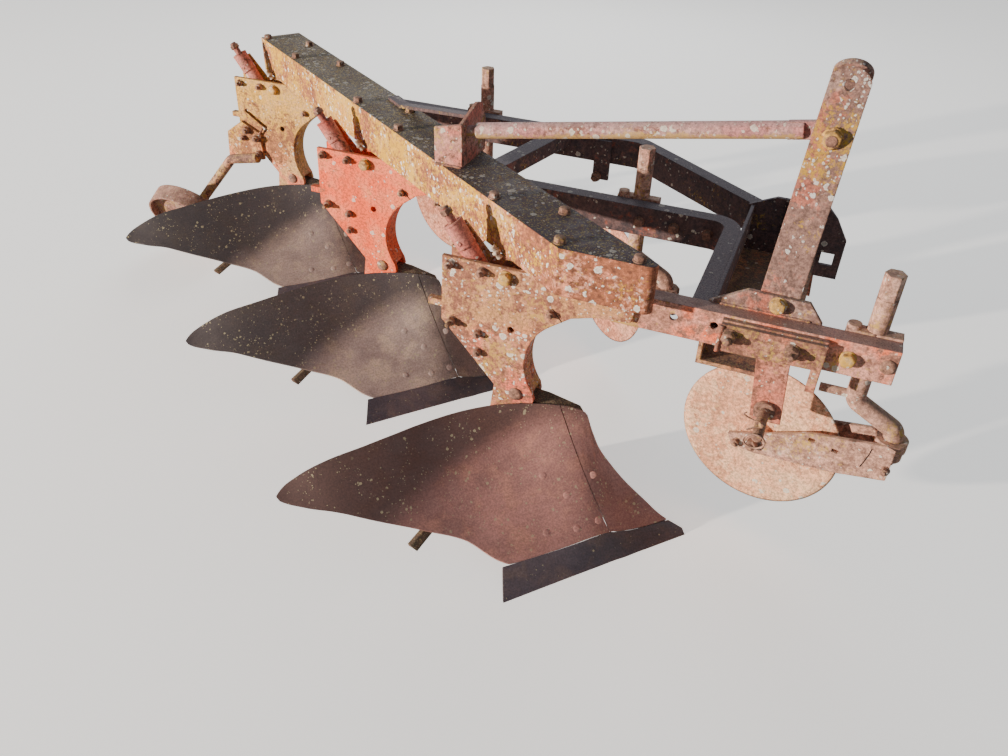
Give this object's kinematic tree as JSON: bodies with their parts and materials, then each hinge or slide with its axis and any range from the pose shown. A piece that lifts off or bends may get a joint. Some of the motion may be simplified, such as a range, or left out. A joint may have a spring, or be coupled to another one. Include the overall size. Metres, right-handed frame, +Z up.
{
  "type": "mounted mouldboard plough",
  "caption": "Rusted tractor-mounted mouldboard plough with a diagonal beam, bottoms in echelon, rolling coulters and a leaning rear wheel.",
  "frame": {"origin": "on the ground under the middle of the whole plough's bounding box", "axes": "+X the way it is pulled, +Y its land side (left), +Z up"},
  "size_m": [2.418, 1.4196, 1.0253],
  "materials": {
    "bare_steel": "rusted",
    "beam_paint": "weathered, lichen-spotted",
    "cast_body": "rough, rusted",
    "disc_steel": "light rust",
    "dusty_red": "faded, dusty",
    "faded_red": "faded, flaking",
    "lichen_ochre": "weathered under lichen",
    "rust_brown": "rust with traces of paint",
    "worn_steel": "worn, rusted smooth"
  },
  "bodies": {
    "frame": {"main_beam": "beam_paint", "right_rail": "faded_red", "middle_rail": "rust_brown", "left_rail": "rust_brown", "cross_tie": "rust_brown", "cross_channel": "rust_brown", "right_gusset": "faded_red", "left_plate": "rust_brown", "right_hanger": "rust_brown", "left_hanger": "rust_brown", "hitch_bracket": "faded_red", "right_link_pin": "rust_brown", "left_link_pin": "rust_brown", "right_mast_bar": "rust_brown", "left_mast_bar": "rust_brown", "mast_cross_pin": "rust_brown", "mast_brace": "dusty_red", "brace_bracket": "dusty_red", "brace_stay": "dusty_red", "rail_brace": "rust_brown", "rail_strap": "rust_brown", "leg_1": "rust_brown", "leg_2": "faded_red", "leg_3": "lichen_ochre", "mouldboard_1": "worn_steel", "board_brace_1": "cast_body", "shin_1": "worn_steel", "share_1": "worn_steel", "landside_1": "bare_steel", "frog_1": "cast_body", "mouldboard_2": "worn_steel", "board_brace_2": "cast_body", "shin_2": "worn_steel", "share_2": "worn_steel", "landside_2": "bare_steel", "frog_2": "cast_body", "mouldboard_3": "worn_steel", "board_brace_3": "cast_body", "shin_3": "worn_steel", "share_3": "worn_steel", "landside_3": "bare_steel", "frog_3": "cast_body", "spring_barrel_1": "faded_red", "spring_barrel_2": "faded_red", "spring_barrel_3": "faded_red", "coulter_stem_1": "rust_brown", "coulter_clamp_1": "rust_brown", "coulter_stem_2": "rust_brown", "coulter_clamp_2": "rust_brown", "coulter_stem_3": "rust_brown", "coulter_clamp_3": "rust_brown", "wheel_bracket": "rust_brown", "wheel_axle": "rust_brown"},
    "coulter_yoke_body_1": {"coulter_yoke_1": "rust_brown"},
    "coulter_disc_body_1": {"coulter_disc_1": "disc_steel"},
    "coulter_yoke_body_2": {"coulter_yoke_2": "rust_brown"},
    "coulter_disc_body_2": {"coulter_disc_2": "disc_steel"},
    "coulter_yoke_body_3": {"coulter_yoke_3": "rust_brown"},
    "coulter_disc_body_3": {"coulter_disc_3": "disc_steel"},
    "rear_wheel_body": {"rear_wheel": "rust_brown"}
  },
  "joints": [
    {"name": "coulter_swivel_1", "type": "hinge", "parent": "frame", "child": "coulter_yoke_body_1", "pos_m": [1.178, -0.24484, 0.33], "axis": [0, 0, 1], "range_deg": [-32.5, 20.5]},
    {"name": "coulter_spin_1", "type": "hinge", "parent": "coulter_yoke_body_1", "child": "coulter_disc_body_1", "pos_m": [0.92709, -0.18921, 0.257], "axis": [0.2164, 0.9763, 0], "continuous": true},
    {"name": "coulter_swivel_2", "type": "hinge", "parent": "frame", "child": "coulter_yoke_body_2", "pos_m": [0.617, 0.16116, 0.33], "axis": [0, 0, 1], "range_deg": [-2, 51]},
    {"name": "coulter_spin_2", "type": "hinge", "parent": "coulter_yoke_body_2", "child": "coulter_disc_body_2", "pos_m": [0.42904, 0.33643, 0.257], "axis": [0.682, 0.7314, 0], "continuous": true},
    {"name": "coulter_swivel_3", "type": "hinge", "parent": "frame", "child": "coulter_yoke_body_3", "pos_m": [0.039, 0.56716, 0.33], "axis": [0, 0, 1], "range_deg": [-27, 26]},
    {"name": "coulter_spin_3", "type": "hinge", "parent": "coulter_yoke_body_3", "child": "coulter_disc_body_3", "pos_m": [-0.20542, 0.64658, 0.257], "axis": [0.309, 0.9511, 0], "continuous": true},
    {"name": "rear_wheel_spin", "type": "hinge", "parent": "frame", "child": "rear_wheel_body", "pos_m": [-1.069, 0.36536, 0.13524], "axis": [0, 0.866, 0.5], "continuous": true}
  ]
}
